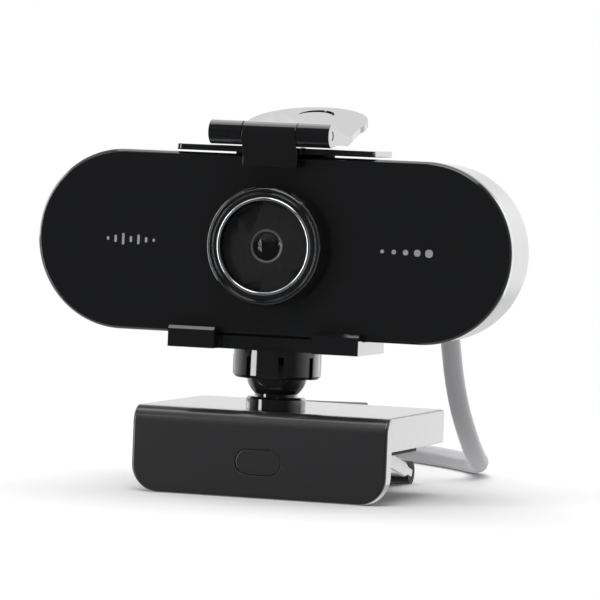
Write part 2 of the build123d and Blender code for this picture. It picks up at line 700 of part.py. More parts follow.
# rubber grip pads: two strips under the top, either side of the insert, and one behind the lip
PAD_FRONT = LIP_BACK + 1.0
PAD_REAR = BALL_Y + 17.2
PAD_W = 13.0
with BuildPart() as top_pads:
    with BuildSketch(Plane.XY.offset(CLIP_UNDER - PAD_T)):
        with Locations(*[(side * (20.0 - PAD_W / 2), (PAD_FRONT + PAD_REAR) / 2) for side in (-1, 1)]):
            RectangleRounded(PAD_W, PAD_REAR - PAD_FRONT, 1.5)
    extrude(amount=PAD_T)
keep(top_pads.part, "top_pads")

with BuildPart() as lip_pad:
    with BuildSketch(facing_front(LIP_BACK + 0.8)):
        with Locations((0, 4.3)):
            RectangleRounded(34.0, 5.8, 1.2)
    extrude(amount=0.8)
keep(lip_pad.part, "lip_pad")

# ---- rear leg ----------------------------------------------------------------------------------

leg_cos = cos(radians(LEG_DROP))
leg_sin = sin(radians(LEG_DROP))
LEG_SECTION = Plane(origin=(0, LEG_Y, LEG_Z), x_dir=(0, leg_cos, -leg_sin), z_dir=(1, 0, 0))
TONGUE = [(LEG_L - 3.5, -LEG_HALF), (LEG_L - 1.8, -0.8), (LEG_L + 0.8, -0.8),
          (LEG_L + 0.8, 0.8), (LEG_L - 1.8, 0.8), (LEG_L - 3.5, LEG_HALF)]

# blade with a hinge knuckle at one end and a tongue for the foot at the other
with BuildPart() as rear_leg:
    with BuildSketch(LEG_SECTION):
        Circle(LEG_KNUCKLE_R)
        Polygon(
            (0, -LEG_HALF), (4.2, -LEG_HALF), (4.2, LEG_HALF), (0, LEG_HALF), align=None,
        )
    extrude(amount=LUG_IN - 0.2, both=True)
    with BuildSketch(LEG_SECTION):
        Polygon((3.2, LEG_HALF), (3.2, -LEG_HALF), *TONGUE, align=None)
    extrude(amount=11.5, both=True)
    with BuildSketch(LEG_SECTION):
        Circle(LEG_PIN_R + 0.06)
    extrude(amount=LUG_IN + 1, both=True, mode=Mode.SUBTRACT)
keep(rear_leg.part, "rear_leg")

with BuildPart() as leg_foot:
    with BuildSketch(LEG_SECTION):
        with Locations((LEG_L, 0)):
            Circle(FOOT_R)
        Polygon(*TONGUE, align=None, mode=Mode.SUBTRACT)
    extrude(amount=11.5, both=True)
keep(leg_foot.part, "leg_foot")

with BuildPart() as leg_pin:
    with BuildSketch(across(-LUG_OUT + 0.1)):
        with Locations((LEG_Y, LEG_Z)):
            Circle(LEG_PIN_R)
    extrude(amount=2 * LUG_OUT - 0.2)
keep(leg_pin.part, "leg_pin")

# ---- cable -------------------------------------------------------------------------------------

# tapered rubber strain relief in the back of the shell
with BuildPart() as cable_gland:
    with BuildSketch(Plane(origin=(GLAND_X, 0, GLAND_Z), x_dir=(1, 0, 0), z_dir=(0, 0, 1))):
        Polygon(
            (1.8, INSIDE_BACK - 1.1), (3.6, INSIDE_BACK - 1.1), (3.6, INSIDE_BACK - 0.05),
            (2.55, INSIDE_BACK - 0.05), (2.55, SHELL_BACK + 0.05), (3.4, SHELL_BACK + 0.05),
            (3.4, SHELL_BACK + 1.0), (2.9, SHELL_BACK + 1.4), (2.2, GLAND_TIP), (1.8, GLAND_TIP),
            align=None,
        )
    revolve(axis=Axis((GLAND_X, 0, GLAND_Z), (0, 1, 0)))
keep(cable_gland.part, "cable_gland")


def bend_radii(points):
    """For each corner of a route, the radius that its two runs allow."""
    found = []
    for before, here, after in zip(points, points[1:], points[2:]):
        run_in = Vector(here) - Vector(before)
        run_out = Vector(after) - Vector(here)
        half_turn = radians(run_in.get_angle(run_out)) / 2
        found.append(0.45 * min(run_in.length, run_out.length) / tan(half_turn))
    return found


cable_radii = bend_radii(CABLE_ROUTE)
print("cable bend radii", [round(r, 1) for r in cable_radii])
with BuildPart() as cable:
    with BuildLine() as cable_line:
        FilletPolyline(*CABLE_ROUTE, radius=cable_radii)
    with BuildSketch(Plane(origin=cable_line.wire() @ 0, z_dir=cable_line.wire() % 0)):
        Circle(CABLE_D / 2)
    sweep(path=cable_line.wire())
cable_length = cable_line.wire().length
print("cable length", round(cable_length, 2), "volume by length",
      round(cable_length * pi * CABLE_D**2 / 4, 2))
keep(cable.part, "cable")

# the rest of the cable, wound into a long flat hank with the plug laid in its middle
HANK_PLANE = Plane(
    origin=(HANK_X, HANK_Y, TIE_T),
    x_dir=(cos(radians(HANK_TURN)), sin(radians(HANK_TURN)), 0),
    z_dir=(0, 0, 1),
)
PLUG_BACK = 10.0
PLUG_TIP = -33.0
with BuildPart() as cable_hank:
    with BuildSketch(HANK_PLANE):
        SlotCenterToCenter(HANK_RUN, HANK_W, rotation=90)
        with Locations((0, (PLUG_BACK + PLUG_TIP - 0.7) / 2)):
            RectangleRounded(5 * CABLE_D, PLUG_BACK - PLUG_TIP + 0.7, 2.0, mode=Mode.SUBTRACT)
    extrude(amount=HANK_H)
    fillet(cable_hank.faces().sort_by(Axis.Z)[-1].outer_wire().edges(), 1.2)
keep(cable_hank.part, "cable_hank")

# flat strap round the hank
with BuildPart() as cable_tie:
    with BuildSketch(Plane(origin=HANK_PLANE.from_local_coords((0, 19.0, 0)),
                           x_dir=HANK_PLANE.x_dir, z_dir=HANK_PLANE.y_dir)):
        with Locations((0, -HANK_H / 2)):
            RectangleRounded(HANK_W + 2 * TIE_T, HANK_H + 2 * TIE_T, 2.0)
            RectangleRounded(HANK_W + 0.02, HANK_H + 0.02, 0.2, mode=Mode.SUBTRACT)
    extrude(amount=4.5, both=True)
keep(cable_tie.part, "cable_tie")

# plug: moulded grip, steel shell and contact tongue
GRIP_TIP = PLUG_TIP + 14.0
PLUG_Z = 3.5 - TIE_T
PLUG_FACE = Plane(origin=HANK_PLANE.from_local_coords((0, GRIP_TIP, PLUG_Z)),
                  x_dir=-HANK_PLANE.x_dir, z_dir=-HANK_PLANE.y_dir)
with BuildPart() as usb_plug_grip:
    with BuildSketch(PLUG_FACE):
        RectangleRounded(15.2, 7.0, 2.0)
    extrude(amount=-22.0)
    chamfer(usb_plug_grip.faces().sort_by(Axis.Y)[-1].edges(), 1.4)
    with BuildSketch(PLUG_FACE.offset(-22.0)):
        Circle(2.7)
    with BuildSketch(PLUG_FACE.offset(GRIP_TIP - PLUG_BACK)):
        Circle(2.1)
    loft()
keep(usb_plug_grip.part, "usb_plug_grip")

with BuildPart() as usb_plug_shell:
    with BuildSketch(PLUG_FACE):
        Rectangle(12.0, 4.5)
        Rectangle(11.4, 3.9, mode=Mode.SUBTRACT)
    extrude(amount=14.0)
    with BuildSketch(PLUG_FACE.offset(8.0)):
        with Locations((-2.9, 0), (2.9, 0)):
            Rectangle(2.0, 6.0)
    extrude(amount=2.2, mode=Mode.SUBTRACT)
keep(usb_plug_shell.part, "usb_plug_shell")

with BuildPart() as usb_plug_tongue:
    with BuildSketch(PLUG_FACE):
        with Locations((0, 0.95)):
            Rectangle(11.3, 1.9)
    extrude(amount=13.5)
keep(usb_plug_tongue.part, "usb_plug_tongue")
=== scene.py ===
"""Desk webcam on a ball joint and a folding screen clip: the looks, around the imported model."""

import math

import bpy
from mathutils import Matrix, Vector


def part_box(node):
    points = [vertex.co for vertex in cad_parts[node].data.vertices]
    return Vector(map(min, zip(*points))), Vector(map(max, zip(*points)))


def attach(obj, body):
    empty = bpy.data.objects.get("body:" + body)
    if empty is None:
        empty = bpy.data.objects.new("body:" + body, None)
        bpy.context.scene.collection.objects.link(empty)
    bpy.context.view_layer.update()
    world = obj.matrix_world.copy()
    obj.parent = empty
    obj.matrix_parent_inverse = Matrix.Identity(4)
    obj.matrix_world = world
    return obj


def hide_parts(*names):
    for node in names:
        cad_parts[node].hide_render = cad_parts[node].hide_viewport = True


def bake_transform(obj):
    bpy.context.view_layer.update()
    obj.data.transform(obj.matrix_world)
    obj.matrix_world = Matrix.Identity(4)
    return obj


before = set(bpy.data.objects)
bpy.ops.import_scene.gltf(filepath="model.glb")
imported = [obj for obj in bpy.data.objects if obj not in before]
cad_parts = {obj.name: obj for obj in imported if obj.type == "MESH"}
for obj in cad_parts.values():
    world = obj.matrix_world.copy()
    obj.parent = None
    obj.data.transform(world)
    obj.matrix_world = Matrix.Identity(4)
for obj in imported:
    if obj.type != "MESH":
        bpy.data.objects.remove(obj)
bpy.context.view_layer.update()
MM = 0.001

# ---- camera and studio ---------------------------------------------------------------------------
# A long lens a little to the right of the webcam and just above it, turned slightly about its axis.
BALL_Y = (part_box("ball_stud")[0][1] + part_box("ball_stud")[1][1]) / 2
VIEW_AZIMUTH = math.radians(18.0)
VIEW_DISTANCE = 0.789
VIEW_HEIGHT = 0.064
VIEW_ROLL = math.radians(2.3)
AIM = Vector((0.0035, BALL_Y, 0.0328))

camera_data = bpy.data.cameras.new("camera")
camera_data.lens = 285
camera_data.sensor_width = 36
camera = bpy.data.objects.new("camera", camera_data)
bpy.context.collection.objects.link(camera)
camera.location = (
    VIEW_DISTANCE * math.sin(VIEW_AZIMUTH),
    BALL_Y - VIEW_DISTANCE * math.cos(VIEW_AZIMUTH),
    VIEW_HEIGHT,
)
looking = (AIM - camera.location).to_track_quat("-Z", "Y").to_matrix().to_4x4()
camera.rotation_euler = (looking @ Matrix.Rotation(VIEW_ROLL, 4, "Z")).to_euler()
bpy.context.scene.camera = camera
bpy.context.scene.view_settings.view_transform = "Standard"


class Value:
    """A number that a shader works out: arithmetic on it adds the Math nodes."""

    def __init__(self, finish, socket):
        self.finish, self.socket = finish, socket

    def math(self, operation, *others):
        return self.finish.math(operation, self, *others)

    def __add__(self, other):
        return self.math("ADD", other)

    def __mul__(self, other):
        return self.math("MULTIPLY", other)

    def __sub__(self, other):
        return self.math("SUBTRACT", other)

    def __rsub__(self, other):
        return self.finish.math("SUBTRACT", other, self)

    __radd__ = __add__
    __rmul__ = __mul__


class Finish:
    """The node tree of one finish."""

    def __init__(self, tree):
        self.tree = tree
        tree.nodes.clear()

    def node(self, kind, output, settings=(), **sockets):
        """Add a node with its settings, then its sockets' values or links; give back one output."""
        made = self.tree.nodes.new("ShaderNode" + kind)
        for name, value in dict(settings).items():
            setattr(made, name, value)
        for name, value in sockets.items():
            key = int(name[1:]) if name[1:].isdigit() else name.replace("_", " ")
            if isinstance(value, Value):
                self.tree.links.new(value.socket, made.inputs[key])
            else:
                made.inputs[key].default_value = value
        return Value(self, made.outputs[output]) if output is not None else made

    def math(self, operation, *values):
        sockets = {f"_{place}": value for place, value in enumerate(values)}
        return self.node("Math", "Value", {"operation": operation}, **sockets)

    def ramp(self, value, low, high):
        """0 below low, 1 above high, smooth between."""
        settings = {"interpolation_type": "SMOOTHSTEP"}
        return self.node("MapRange", "Result", settings, Value=value, From_Min=low, From_Max=high)

    def blend(self, share, first, second):
        """The first colour where share is 0, the second where it is 1."""
        return self.node("Mix", 2, {"data_type": "RGBA"}, _0=share, _6=first, _7=second)


# The room: white behind and above, dim in front, as a lit cove with the camera's end left dark.
world = bpy.data.worlds.new("studio")
world.use_nodes = True
bpy.context.scene.world = world
room = Finish(world.node_tree)
direction = room.node("TexCoord", "Generated")
split = room.node("SeparateXYZ", None, Vector=direction)
forward = Value(room, split.outputs["Y"])
cove = room.ramp(forward, -0.55, 0.35) * 0.95 + 0.07
rays = room.node("LightPath", None)
seen, mirrored = Value(room, rays.outputs["Is Camera Ray"]), Value(room, rays.outputs["Is Glossy Ray"])
shade = seen + (1 - seen) * cove * (0.5 + 0.5 * mirrored)
room_light = room.node("Background", "Background", Color=(1, 1, 1, 1), Strength=shade)
room.node("OutputWorld", None, Surface=room_light)


def soft_box(name, place, aim, size, strength, height=None):
    """A soft light of so many watts that the camera doesn't see, square unless its height is given."""
    data = bpy.data.lights.new(name, "AREA")
    data.shape, data.size, data.size_y, data.energy = "RECTANGLE", size, height or size, strength
    light = bpy.data.objects.new(name, data)
    bpy.context.collection.objects.link(light)
    light.location = place
    light.rotation_euler = (Vector(aim) - Vector(place)).to_track_quat("-Z", "Y").to_euler()
    light.visible_camera = False


soft_box("top_light", (0.0, 0.15, 0.9), (0, 0, 0), 0.9, 4.4)
soft_box("front_top_light", (0.05, -0.5, 0.8), (0, 0, 0.02), 0.5, 3.4)
soft_box("rear_high_light", (-0.26, 0.8, 0.59), (0, 0, 0.06), 0.5, 0.5)
soft_box("left_strip", (-0.56, -0.58, 0.06), (0, 0, 0.03), 0.18, 2.6, 0.5)
soft_box("right_rear_light", (0.42, 0.75, 0.16), (0.02, 0, 0.03), 0.7, 1.8)
soft_box("left_rear_light", (-0.75, 0.35, 0.25), (0, 0, 0.03), 0.5, 1.8)
soft_box("front_fill", (-0.55, -0.75, 0.55), (0, 0, 0.03), 0.35, 0.9)

# Pale floor that fades into the white room; it isn't part of the webcam.
FLOOR_FADE_FROM, FLOOR_FADE_TO = 0.16, 0.42
bpy.ops.object.select_all(action="DESELECT")
bpy.ops.mesh.primitive_circle_add(vertices=96, radius=0.6, fill_type="NGON", location=(0, 0, 0))
floor = bpy.context.object
floor.name = "floor"
floor.visible_glossy = False
floor_material = bpy.data.materials.new("pale_floor")
floor_material.use_nodes = True
pale = Finish(floor_material.node_tree)
where = pale.node("TexCoord", "Object")
reach = pale.node("VectorMath", "Value", {"operation": "LENGTH"}, Vector=where)
matt = pale.node("BsdfDiffuse", "BSDF", Color=(0.9, 0.9, 0.905, 1))
clear = pale.node("BsdfTransparent", "BSDF")
fade = pale.ramp(reach, FLOOR_FADE_FROM, FLOOR_FADE_TO)
pale.node("OutputMaterial", None, Surface=pale.node("MixShader", "Shader", _0=fade, _1=matt, _2=clear))
floor.data.materials.append(floor_material)


# ---- cable ---------------------------------------------------------------------------------------
# Round PVC-jacketed USB lead, from the rubber gland down to the desk. What isn't needed is folded into
# a long hank of six turns, two deep and three wide, with the plug laid in the middle of it.
CABLE_D = 3.5 * MM
GLAND_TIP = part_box("cable_gland")[1][1]
route = [
    (0.016, GLAND_TIP + 0.00005, 0.0382),
    (0.016, BALL_Y + 0.0360, 0.0380),
    (0.016, BALL_Y + 0.0460, 0.0300),
    (0.0166, BALL_Y + 0.0505, 0.0155),
    (0.018, BALL_Y + 0.0590, 0.0046),
    (0.016, BALL_Y + 0.0725, 0.00175),
    (0.007, BALL_Y + 0.0840, 0.00175),
    (-0.0045, BALL_Y + 0.0940, 0.0019),
    (-0.0126, BALL_Y + 0.1040, 0.0026),
]

# The hank's own frame: u across it, v along it, z up from the desk.
HANK_X, HANK_Y = -27.9 * MM, BALL_Y + 90.9 * MM
HANK_TURN = math.radians(18.0)
hank_place = Matrix.Translation((HANK_X, HANK_Y, 0)) @ Matrix.Rotation(HANK_TURN, 4, "Z")
STRAP_V, STRAP_T = 19 * MM, 0.6 * MM
HALF_RUN = 28 * MM
LOW, HIGH = 1.77 * MM, 5.32 * MM
lanes = [(17.5, LOW), (17.5, HIGH), (14, HIGH), (14, LOW), (10.5, LOW), (10.5, HIGH)]
BULGE = 1.03
END_STEP = 36


def lane_point(lane, station):
    """One of eighteen stations round a turn: up the right run, round the far end, down the left run,
    round the near end."""
    half, height = lanes[lane]
    half *= MM
    if 2 <= station <= 6 or 11 <= station <= 15:
        far = station <= 6
        angle = math.radians(END_STEP / 2 + END_STEP * (station - 2 if far else station - 11 + 5))
        centre = HALF_RUN if far else -HALF_RUN
        u, v = BULGE * half * math.cos(angle), centre + BULGE * half * math.sin(angle)
    else:
        u = -half if 7 <= station <= 10 else half
        v = {0: 5, 1: 20, 7: 19, 8: 6, 9: -7, 10: -20, 16: -20, 17: -8}[station] * MM
    lift = STRAP_T * math.exp(-(((v - STRAP_V) / (14 * MM)) ** 2))
    return u, v, height + lift


# Each turn is one station short of a full round, so the inner lanes change over before the outer ones.
STATIONS = 18
LEAVES_AT = 97
hank = [lane_point((step - 1) // (STATIONS - 1), step % STATIONS) for step in range(1, LEAVES_AT)]
hank += [
    (-10.6 * MM, 26.1 * MM, 5.7 * MM), (-7.7 * MM, 21.0 * MM, 5.4 * MM), (-2.8 * MM, 18.0 * MM, 4.6 * MM),
    (0, 12.9 * MM, 3.8 * MM), (0, 10.0 * MM, 3.5 * MM),
]
route += [tuple(hank_place @ Vector(point)) for point in hank]

curve = bpy.data.curves.new("cable", "CURVE")
curve.dimensions = "3D"
curve.resolution_u = 5
spline = curve.splines.new("NURBS")
spline.points.add(len(route) - 1)
for point, place in zip(spline.points, route):
    point.co = (*place, 1)
spline.order_u = 3
spline.use_endpoint_u = True
usb_cable = bpy.data.objects.new("usb_cable", curve)
bpy.context.collection.objects.link(usb_cable)
centre_line = bpy.data.meshes.new_from_object(usb_cable)
bpy.data.meshes.remove(centre_line)
curve.bevel_depth = CABLE_D / 2
curve.bevel_resolution = 4
curve.use_fill_caps = True


def only(piece):
    """Select this piece alone, for the operators that follow."""
    bpy.ops.object.select_all(action="DESELECT")
    piece.select_set(True)
    bpy.context.view_layer.objects.active = piece
    return piece


only(usb_cable)
bpy.ops.object.convert(target="MESH")
usb_cable = bpy.context.object
bpy.ops.object.shade_smooth()


def finish_of(name, colour, roughness, **sockets):
    """A new material: gives it back with its tree, its main shader and its place in millimetres."""
    material = bpy.data.materials.new(name)
    material.use_nodes = True
    tree = Finish(material.node_tree)
    shader = tree.node("BsdfPrincipled", None, Base_Color=(*colour, 1), Roughness=roughness, **sockets)
    tree.node("OutputMaterial", None, Surface=Value(tree, shader.outputs["BSDF"]))
    place = tree.node("TexCoord", "Object")
    place = tree.node("Mapping", "Vector", Vector=place, Scale=(1000, 1000, 1000))
    return material, tree, shader, place


def grain(tree, shader, place, pitch, depth, detail=2.0):
    """Fine moulded grain: bumps about pitch across and depth high, in millimetres."""
    bumps = tree.node("TexNoise", "Fac", Vector=place, Scale=1 / pitch, Detail=detail)
    normal = tree.node("Bump", "Normal", Height=bumps, Strength=1.0, Distance=depth * MM)
    tree.tree.links.new(normal.socket, shader.inputs["Normal"])
    return bumps


def join(tree, value, shader, socket):
    tree.tree.links.new(value.socket, shader.inputs[socket])


cable_grey, tree, shader, place = finish_of("cable_grey", (0.36, 0.36, 0.37), 0.42)
bumps = grain(tree, shader, place, 0.35, 0.012)
cloud = tree.node("TexNoise", "Fac", Vector=place, Scale=0.09, Detail=3.0)
join(tree, tree.blend(cloud, (0.39, 0.39, 0.4, 1), (0.46, 0.46, 0.47, 1)), shader, "Base Color")
join(tree, 0.36 + 0.14 * bumps, shader, "Roughness")
usb_cable.data.materials.append(cable_grey)

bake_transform(usb_cable)
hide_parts("cable", "cable_hank")

# ---- hook-and-loop strap -------------------------------------------------------------------------
# Woven nylon strap that holds the hank: one flat band round it with the free end pressed down on top.
STRAP_W = 9 * MM
STRAP_IN_W, STRAP_IN_H = 38.7 * MM, 7.15 * MM
bpy.ops.mesh.primitive_cube_add(size=1, location=(0, STRAP_V, STRAP_T + STRAP_IN_H / 2))
strap = bpy.context.object
strap.name = "cable_strap"
strap.dimensions = (STRAP_IN_W + 2 * STRAP_T, STRAP_W, STRAP_IN_H + 2 * STRAP_T)
bpy.ops.object.transform_apply(location=True, rotation=False, scale=True)


def pick(piece, kind, wanted):
    """In edit mode, select just the faces or edges that the test wants."""
    bpy.ops.object.mode_set(mode="OBJECT")
    for group in (piece.data.vertices, piece.data.edges, piece.data.polygons):
        for item in group:
            item.select = False
    for item in {"FACE": piece.data.polygons, "EDGE": piece.data.edges}[kind]:
        item.select = bool(wanted(item))
    bpy.ops.object.mode_set(mode="EDIT")
    bpy.ops.mesh.select_mode(type=kind)


pick(strap, "EDGE", lambda edge: abs(strap.data.vertices[edge.vertices[0]].co.y
                                     - strap.data.vertices[edge.vertices[1]].co.y) > STRAP_W / 2)
bpy.ops.mesh.bevel(offset=1.7 * MM, segments=5)
pick(strap, "FACE", lambda face: abs(face.normal.y) > 0.9)
bpy.ops.mesh.delete(type="FACE")
bpy.ops.object.mode_set(mode="OBJECT")
webbing_depth = strap.modifiers.new("webbing_depth", "SOLIDIFY")
webbing_depth.thickness, webbing_depth.offset = STRAP_T, -1
bpy.ops.object.modifier_apply(modifier=webbing_depth.name)
bpy.ops.mesh.primitive_cube_add(size=1, location=(4 * MM, STRAP_V, 2 * STRAP_T + STRAP_IN_H + 0.32 * MM))
tail = bpy.context.object
tail.dimensions = (24 * MM, STRAP_W - 0.3 * MM, 0.6 * MM)
bpy.ops.object.transform_apply(location=True, rotation=False, scale=True)
bpy.ops.object.mode_set(mode="EDIT")
bpy.ops.mesh.select_all(action="SELECT")
bpy.ops.mesh.bevel(offset=0.2 * MM, segments=2)
bpy.ops.object.mode_set(mode="OBJECT")
strap.select_set(True)
bpy.context.view_layer.objects.active = strap
bpy.ops.object.join()
strap.data.transform(hank_place)
bpy.ops.object.shade_smooth_by_angle(angle=math.radians(35))

webbing, tree, shader, place = finish_of("strap_webbing", (0.02, 0.02, 0.022), 0.85, Sheen_Weight=0.3)
turned = tree.node("Mapping", "Vector", Vector=place, Rotation=(0, 0, -HANK_TURN))
weft = tree.node("TexWave", "Fac", {"bands_direction": "X"}, Vector=turned, Scale=0.55, Distortion=0.6)
warp = tree.node("TexWave", "Fac", {"bands_direction": "Y"}, Vector=turned, Scale=0.55, Distortion=0.6)
weave = weft * 0.5 + warp * 0.5
join(tree, tree.node("Bump", "Normal", Height=weave, Distance=0.12 * MM), shader, "Normal")
join(tree, tree.blend(weave, (0.012, 0.012, 0.013, 1), (0.04, 0.04, 0.043, 1)), shader, "Base Color")
strap.data.materials.clear()
strap.data.materials.append(webbing)
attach(strap, "lean_ring")
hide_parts("cable_tie")


# ---- rear shell ----------------------------------------------------------------------------------
# Injection-moulded ABS tub in a light silver-white satin paint over a fine spark-eroded grain. Two
# recessed screws at the back hold it to the frame behind the front plate.
SHARPER_THAN = math.radians(38.0)
MERGE_WITHIN = 0.001 * MM


def rounded(node, body, width):
    """A copy of a moulded part with its crisp edges rounded, standing for the part itself."""
    piece = bpy.data.objects.new(node + "_moulding", bpy.data.objects[node].data.copy())
    piece.data.materials.clear()
    bpy.context.collection.objects.link(piece)
    only(piece)
    bpy.ops.object.mode_set(mode="EDIT")
    bpy.ops.mesh.select_all(action="SELECT")
    bpy.ops.mesh.remove_doubles(threshold=MERGE_WITHIN)
    bpy.ops.mesh.dissolve_limited(angle_limit=math.radians(0.6))
    bpy.ops.object.mode_set(mode="OBJECT")
    bpy.ops.mesh.customdata_custom_splitnormals_clear()
    edge = piece.modifiers.new("edges", "BEVEL")
    edge.width, edge.segments, edge.limit_method = width, 2, "ANGLE"
    edge.angle_limit = SHARPER_THAN
    edge.use_clamp_overlap = True
    bpy.ops.object.modifier_apply(modifier=edge.name)
    bpy.ops.object.shade_smooth_by_angle(angle=math.radians(50))
    flats = piece.modifiers.new("flats", "WEIGHTED_NORMAL")
    flats.mode, flats.weight, flats.keep_sharp = "FACE_AREA", 100, True
    bpy.ops.object.modifier_apply(modifier=flats.name)
    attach(piece, body)
    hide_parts(node)
    return piece


def paint(piece, material):
    """Give a piece one finish all over."""
    piece = bpy.data.objects[piece] if isinstance(piece, str) else piece
    piece.data.materials.clear()
    piece.data.materials.append(material)


silver, tree, shader, place = finish_of("silver_paint", (0.53, 0.53, 0.54), 0.34, Coat_Weight=0.25,
                                        Coat_Roughness=0.25)
bumps = grain(tree, shader, place, 0.16, 0.004, 3.0)
cloud = tree.node("TexNoise", "Fac", Vector=place, Scale=0.05, Detail=4.0)
join(tree, tree.blend(cloud, (0.5, 0.505, 0.515, 1), (0.56, 0.56, 0.565, 1)), shader, "Base Color")
join(tree, 0.28 + 0.16 * bumps, shader, "Roughness")
paint("rear_shell", silver)

steel, tree, shader, place = finish_of("dark_steel", (0.32, 0.32, 0.33), 0.32, Metallic=1.0)
bumps = grain(tree, shader, place, 0.2, 0.003, 2.0)
join(tree, 0.24 + 0.2 * bumps, shader, "Roughness")
for node in ("case_screws", "board_screws", "cradle_screws", "clip_screws", "swivel_screw",
             "swivel_washer", "leg_pin", "cover_pin", "usb_plug_shell"):
    paint(node, steel)

# ---- front plate and the marks on it -------------------------------------------------------------
# Clear-coated black acrylic with a polished bevel all round, with faint polishing swirls. Two small
# marks are printed on it in pale ink: sound bars on the left and a row of growing dots on the right.
gloss, tree, shader, place = finish_of("gloss_black", (0.006, 0.0062, 0.007), 0.06, Coat_Weight=0.6,
                                       Coat_Roughness=0.02)
swirl = tree.node("TexNoise", "Fac", Vector=place, Scale=0.03, Detail=6.0)
haze = tree.node("TexNoise", "Fac", Vector=place, Scale=1.4, Detail=4.0)
join(tree, 0.03 + 0.06 * swirl + 0.04 * haze, shader, "Roughness")
swirled = tree.blend(swirl, (0.0055, 0.0058, 0.0065, 1), (0.0095, 0.0098, 0.0108, 1))
join(tree, swirled, shader, "Base Color")
paint("ball_stud", gloss)
gloss_mouldings = (
    ("front_plate", "head", 0.12), ("lens_ring", "head", 0.1), ("cradle", "head", 0.25),
    ("cover_base", "head", 0.2), ("cover_flap", "lens_cover", 0.2),
)
for node, body, width in gloss_mouldings:
    paint(rounded(node, body, width * MM), gloss)

plate_low, plate_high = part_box("front_plate")
plate_front = plate_low[1]
BODY_Z = (plate_low[2] + plate_high[2]) / 2
INK_T = 0.03 * MM
ink, tree, shader, place = finish_of("print_ink", (0.3, 0.3, 0.31), 0.6)
speckle = tree.node("TexNoise", "Fac", Vector=place, Scale=6.0, Detail=2.0)
join(tree, tree.blend(speckle, (0.22, 0.22, 0.23, 1), (0.36, 0.36, 0.37, 1)), shader, "Base Color")


def printed(name, marks):
    """Flat patches of ink on the plate, one for each centre and size."""
    patches = []
    for x, width, height in marks:
        bpy.ops.object.select_all(action="DESELECT")
        bpy.ops.mesh.primitive_cube_add(size=1, location=(x, plate_front - INK_T / 2, BODY_Z))
        patch = bpy.context.object
        patch.dimensions = (width, INK_T, height)
        bpy.ops.object.transform_apply(location=True, rotation=False, scale=True)
        pick(patch, "EDGE", lambda edge: abs(patch.data.vertices[edge.vertices[0]].co.y
                                             - patch.data.vertices[edge.vertices[1]].co.y) > INK_T / 2)
        bpy.ops.mesh.bevel(offset=min(width, height) * 0.42, segments=4)
        bpy.ops.object.mode_set(mode="OBJECT")
        patches.append(patch)
    bpy.ops.object.select_all(action="DESELECT")
    for patch in patches:
        patch.select_set(True)
    bpy.context.view_layer.objects.active = patches[0]
    bpy.ops.object.join()
    print_mark = bpy.context.object
    print_mark.name = name
    paint(print_mark, ink)
    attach(print_mark, "head")


bar_heights = (0.6, 1.2, 1.9, 1.0, 1.6, 0.9, 0.5)
printed("sound_mark", [(-28.6 * MM + step * 1.35 * MM, 0.42 * MM, height * MM)
                       for step, height in enumerate(bar_heights)])
printed("dots_mark", [(19.2 * MM + step * 2.0 * MM, size * MM, size * MM)
                      for step, size in enumerate((0.6, 0.75, 0.9, 1.1, 1.3))])

# ---- lens ----------------------------------------------------------------------------------------
# Turned ring with a bright plated lip, a flat coated window over a black mask, and the small lens in
# its barrel behind it, framed by a thin bare-metal retaining ring.
chrome, tree, shader, place = finish_of("bright_trim", (0.62, 0.63, 0.65), 0.14, Metallic=1.0)
bumps = tree.node("TexNoise", "Fac", Vector=place, Scale=2.5, Detail=3.0)
join(tree, 0.1 + 0.1 * bumps, shader, "Roughness")
matt, tree, shader, place = finish_of("black_plastic", (0.016, 0.016, 0.017), 0.5)
bumps = grain(tree, shader, place, 0.3, 0.01, 3.0)
join(tree, 0.42 + 0.18 * bumps, shader, "Roughness")
for node in ("face_frame", "lens_barrel", "lens_holder", "window_mask", "microphone", "clip_base"):
    paint(node, matt)

glass, tree, shader, place = finish_of("lens_glass", (0.93, 0.95, 0.97), 0.0, Transmission_Weight=1.0,
                                       IOR=1.5)
dust = tree.node("TexNoise", "Fac", Vector=place, Scale=2.0, Detail=3.0)
join(tree, 0.005 + 0.02 * dust, shader, "Roughness")
smoked, tree, shader, place = finish_of("smoked_window", (0.006, 0.0065, 0.008), 0.02, Coat_Weight=1.0,
                                        Coat_Roughness=0.01, Alpha=0.25)
dust = tree.node("TexNoise", "Fac", Vector=place, Scale=2.0, Detail=3.0)
join(tree, 0.015 + 0.03 * dust, shader, "Roughness")
paint("lens_window", smoked)
paint("lens_element", glass)


def turned_ring(name, profile, material):
    """A ring about the lens axis: a circle carried along the profile's (radius, y) points and closed."""
    bpy.ops.object.select_all(action="DESELECT")
    radius, y = profile[0]
    bpy.ops.mesh.primitive_circle_add(vertices=128, radius=radius, location=(0, y, BODY_Z),
                                      rotation=(math.pi / 2, 0, 0))
    ring = bpy.context.object
    ring.name = name
    bpy.ops.object.transform_apply(location=True, rotation=True, scale=False)
    bpy.ops.object.mode_set(mode="EDIT")
    bpy.ops.mesh.select_all(action="SELECT")
    for (radius, y), (next_radius, next_y) in zip(profile, profile[1:] + profile[:1]):
        bpy.ops.mesh.extrude_region_move(TRANSFORM_OT_translate={"value": (0, next_y - y, 0)})
        share = next_radius / radius
        bpy.ops.transform.resize(value=(share, 1, share), center_override=(0, next_y, BODY_Z))
    bpy.ops.mesh.select_all(action="SELECT")
    bpy.ops.mesh.remove_doubles(threshold=2 * MERGE_WITHIN)
    bpy.ops.mesh.normals_make_consistent(inside=False)
    bpy.ops.object.mode_set(mode="OBJECT")
    bpy.ops.object.shade_smooth_by_angle(angle=math.radians(50))
    paint(ring, material)
    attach(ring, "head")
    return ring


